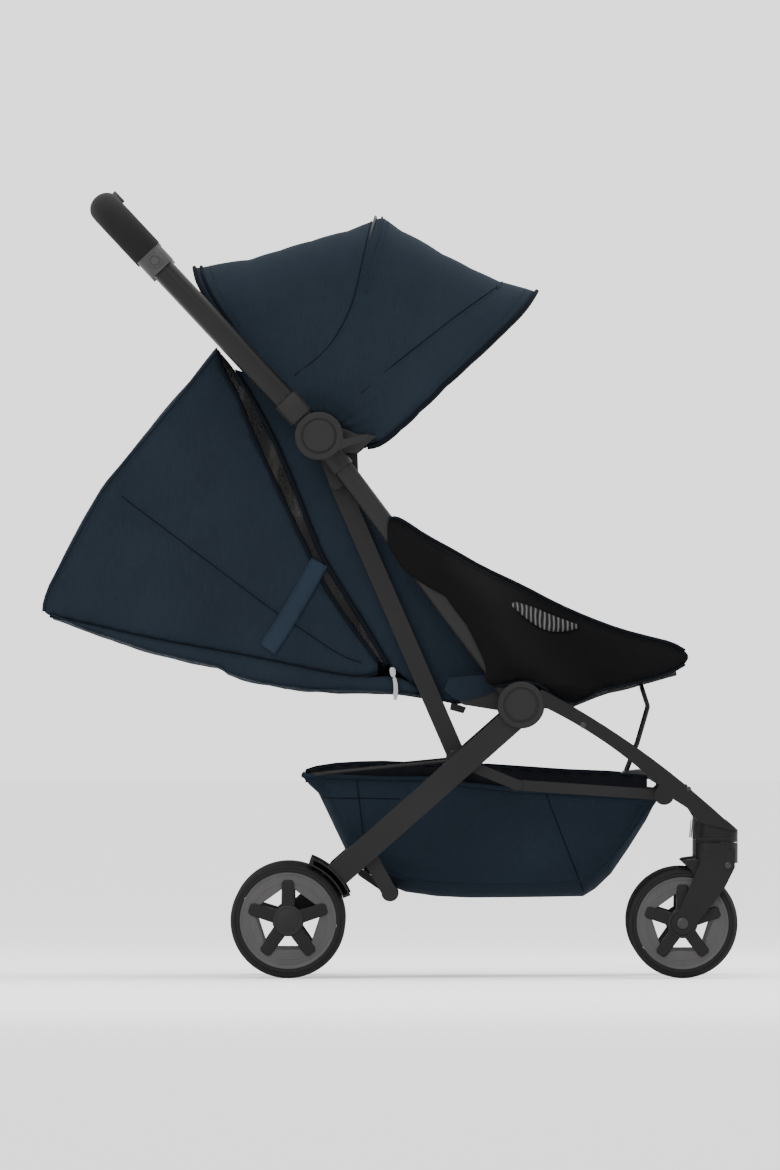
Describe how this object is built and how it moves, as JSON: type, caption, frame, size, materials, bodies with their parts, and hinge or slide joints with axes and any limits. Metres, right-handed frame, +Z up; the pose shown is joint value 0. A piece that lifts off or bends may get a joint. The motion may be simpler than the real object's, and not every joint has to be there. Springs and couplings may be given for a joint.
{
  "type": "baby stroller",
  "caption": "Compact folding baby stroller with a reclining padded seat, opening hood, under-seat basket and swivelling front wheels.",
  "frame": {"origin": "on the floor, below the middle of the overall box", "axes": "+X the way the stroller faces, +Z up, +Y the occupant's left"},
  "size_m": [0.917, 0.47, 1.0413],
  "materials": {
    "frame_black": "satin",
    "frame_grey": "satin",
    "hub_plastic": "matte",
    "black_plastic": "matte",
    "collar_grey": "satin",
    "grip_foam": "matte",
    "navy_fabric": "woven",
    "hood_fabric": "woven",
    "black_fabric": "woven",
    "basket_fabric": "woven",
    "tyre": "matte",
    "rim_grey": "satin"
  },
  "bodies": {
    "seat_frame": {"seat_tube_right": "frame_grey", "seat_tube_left": "frame_grey", "lower_knuckle_right": "hub_plastic", "lower_knuckle_left": "hub_plastic", "upper_knuckle_right": "hub_plastic", "upper_knuckle_left": "hub_plastic", "seat_cross_tube": "frame_black", "seat_pad": "black_fabric", "calf_pad": "black_fabric", "seat_walls": "navy_fabric", "side_wings": "navy_fabric", "crotch_strap": "black_fabric", "buckle": "black_plastic"},
    "rear_frame": {"rear_leg_right": "frame_black", "rear_leg_left": "frame_black", "rear_guard_right": "black_plastic", "rear_guard_left": "black_plastic", "rear_cross_tube": "frame_black", "rear_axle_tube": "frame_black", "basket": "basket_fabric"},
    "front_frame": {"front_leg_right": "black_plastic", "front_leg_left": "black_plastic", "front_cross_tube": "frame_black", "footrest": "collar_grey", "foot_wire": "frame_black"},
    "handle": {"handle_hub_right": "hub_plastic", "handle_hub_left": "hub_plastic", "handle_tube_right": "frame_black", "handle_tube_left": "frame_black", "handle_collars": "collar_grey", "handle_grip": "grip_foam"},
    "fold_button": {"fold_button": "collar_grey"},
    "canopy_arms": {"canopy_arms": "hub_plastic"},
    "hood_ring_mid": {"hood_ring_mid": "black_plastic"},
    "hood_ring_front": {"hood_ring_front": "black_plastic"},
    "bow_mid": {"hood_bow_mid": "frame_black", "hood_rear": "hood_fabric"},
    "bow_front": {"hood_bow_front": "frame_black", "hood_front": "hood_fabric"},
    "back_hinge": {"back_hinge": "black_plastic"},
    "backrest": {"back_board": "black_plastic", "back_pad": "black_fabric", "shoulder_straps": "navy_fabric"},
    "head_rest": {"head_pad": "black_fabric"},
    "basket_hoop": {"basket_hoop": "frame_black"},
    "link_tubes": {"link_tubes": "frame_black"},
    "rear_braces": {"rear_braces": "frame_black"},
    "front_braces": {"front_braces": "frame_black"},
    "brake_pedal": {"brake_pedal": "black_plastic"},
    "buckle_button": {"buckle_button": "collar_grey"},
    "rear_wheel_right": {"rear_tyre_right": "tyre", "rear_rim_right": "rim_grey"},
    "front_wheel_right": {"front_tyre_right": "tyre", "front_rim_right": "rim_grey"},
    "caster_right": {"caster_fork_right": "black_plastic"},
    "rear_wheel_left": {"rear_tyre_left": "tyre", "rear_rim_left": "rim_grey"},
    "front_wheel_left": {"front_tyre_left": "tyre", "front_rim_left": "rim_grey"},
    "caster_left": {"caster_fork_left": "black_plastic"}
  },
  "joints": [
    {"name": "frame_fold", "type": "hinge", "parent": "seat_frame", "child": "rear_frame", "pos_m": [0.171, 0, 0.3604], "axis": [0, 1, 0], "range_deg": [0, 81.4], "deforming": ["hood_rear", "hood_front", "side_wings", "seat_walls", "seat_pad", "calf_pad", "crotch_strap", "basket", "head_pad", "back_pad", "shoulder_straps"]},
    {"name": "front_fold", "type": "hinge", "parent": "rear_frame", "child": "front_frame", "pos_m": [0.171, 0, 0.3604], "axis": [0, 1, 0], "range_deg": [0, 58.3]},
    {"name": "handle_fold", "type": "hinge", "parent": "seat_frame", "child": "handle", "pos_m": [-0.0957, 0, 0.7154], "axis": [0, 1, 0], "range_deg": [0, 178.7]},
    {"name": "canopy_arm_fold", "type": "hinge", "parent": "seat_frame", "child": "canopy_arms", "pos_m": [-0.0957, 0, 0.7154], "axis": [0, 1, 0], "range_deg": [0, 72.3]},
    {"name": "ring_mid_fold", "type": "hinge", "parent": "seat_frame", "child": "hood_ring_mid", "pos_m": [-0.0957, 0, 0.7154], "axis": [0, 1, 0], "range_deg": [0, 113.3]},
    {"name": "ring_front_fold", "type": "hinge", "parent": "seat_frame", "child": "hood_ring_front", "pos_m": [-0.0957, 0, 0.7154], "axis": [0, 1, 0], "range_deg": [0, 91.3]},
    {"name": "hood_open", "type": "hinge", "parent": "hood_ring_front", "child": "bow_front", "pos_m": [-0.0957, 0, 0.7154], "axis": [0, 1, 0], "range_deg": [-57, 0]},
    {"name": "hood_mid_open", "type": "hinge", "parent": "hood_ring_mid", "child": "bow_mid", "pos_m": [-0.0957, 0, 0.7154], "axis": [0, 1, 0], "range_deg": [-36.8, 0]},
    {"name": "back_fold", "type": "hinge", "parent": "seat_frame", "child": "back_hinge", "pos_m": [0.1, 0, 0.372], "axis": [0, 1, 0], "range_deg": [0, 45.3]},
    {"name": "recline", "type": "hinge", "parent": "back_hinge", "child": "backrest", "pos_m": [0.1, 0, 0.372], "axis": [0, -1, 0], "range_deg": [-48, 0]},
    {"name": "head_fold", "type": "hinge", "parent": "backrest", "child": "head_rest", "pos_m": [-0.22877, 0, 0.41821], "axis": [0, -1, 0], "range_deg": [0, 182.7]},
    {"name": "basket_hoop_fold", "type": "hinge", "parent": "rear_frame", "child": "basket_hoop", "pos_m": [0.0854, 0, 0.288], "axis": [0, -1, 0], "range_deg": [0, 38.3]},
    {"name": "link_swing", "type": "hinge", "parent": "rear_frame", "child": "link_tubes", "pos_m": [0.0854, 0, 0.288], "axis": [0, -1, 0], "range_deg": [0, 89.4]},
    {"name": "rear_brace_swing", "type": "hinge", "parent": "rear_frame", "child": "rear_braces", "pos_m": [0.0854, 0, 0.288], "axis": [0, -1, 0], "range_deg": [0, 52.7]},
    {"name": "front_brace_swing", "type": "hinge", "parent": "front_frame", "child": "front_braces", "pos_m": [0.3597, 0, 0.2416], "axis": [0, 1, 0], "range_deg": [0, 25.6]},
    {"name": "brake_press", "type": "hinge", "parent": "rear_frame", "child": "brake_pedal", "pos_m": [-0.002, 0, 0.112], "axis": [0, 1, 0], "range_deg": [0, 20]},
    {"name": "fold_button_press", "type": "slide", "parent": "handle", "child": "fold_button", "axis": [-0.7337, 0, -0.6794], "range_m": [0, 0.0035], "stiffness_N_per_m": 600},
    {"name": "buckle_button_press", "type": "slide", "parent": "seat_frame", "child": "buckle_button", "axis": [0, 0, -1], "range_m": [0, 0.003], "stiffness_N_per_m": 600},
    {"name": "rear_wheel_right_spin", "type": "hinge", "parent": "rear_frame", "child": "rear_wheel_right", "pos_m": [-0.1366, 0, 0.076], "axis": [0, 1, 0], "continuous": true},
    {"name": "caster_right_swivel", "type": "hinge", "parent": "front_frame", "child": "caster_right", "pos_m": [0.429, -0.213, 0.165], "axis": [0, 0, 1], "continuous": true},
    {"name": "front_wheel_right_spin", "type": "hinge", "parent": "caster_right", "child": "front_wheel_right", "pos_m": [0.3841, 0, 0.0725], "axis": [0, 1, 0], "continuous": true},
    {"name": "rear_wheel_left_spin", "type": "hinge", "parent": "rear_frame", "child": "rear_wheel_left", "pos_m": [-0.1366, 0, 0.076], "axis": [0, 1, 0], "continuous": true},
    {"name": "caster_left_swivel", "type": "hinge", "parent": "front_frame", "child": "caster_left", "pos_m": [0.429, 0.213, 0.165], "axis": [0, 0, 1], "continuous": true},
    {"name": "front_wheel_left_spin", "type": "hinge", "parent": "caster_left", "child": "front_wheel_left", "pos_m": [0.3841, 0, 0.0725], "axis": [0, 1, 0], "continuous": true}
  ],
  "couplings": [
    {"joint": "front_fold", "follows": "frame_fold", "ratio": 0.71253},
    {"joint": "handle_fold", "follows": "frame_fold", "ratio": 2.1917},
    {"joint": "canopy_arm_fold", "follows": "frame_fold", "ratio": 0.88452},
    {"joint": "ring_mid_fold", "follows": "frame_fold", "ratio": 1.3882},
    {"joint": "ring_front_fold", "follows": "frame_fold", "ratio": 1.1179},
    {"joint": "hood_mid_open", "follows": "hood_open", "ratio": 0.639},
    {"joint": "back_fold", "follows": "frame_fold", "ratio": 0.55283},
    {"joint": "head_fold", "follows": "frame_fold", "ratio": 2.2408},
    {"joint": "basket_hoop_fold", "follows": "frame_fold", "ratio": 0.46683},
    {"joint": "link_swing", "follows": "frame_fold", "ratio": 1.0946},
    {"joint": "rear_brace_swing", "follows": "frame_fold", "ratio": 0.64373},
    {"joint": "front_brace_swing", "follows": "frame_fold", "ratio": 0.31081}
  ]
}
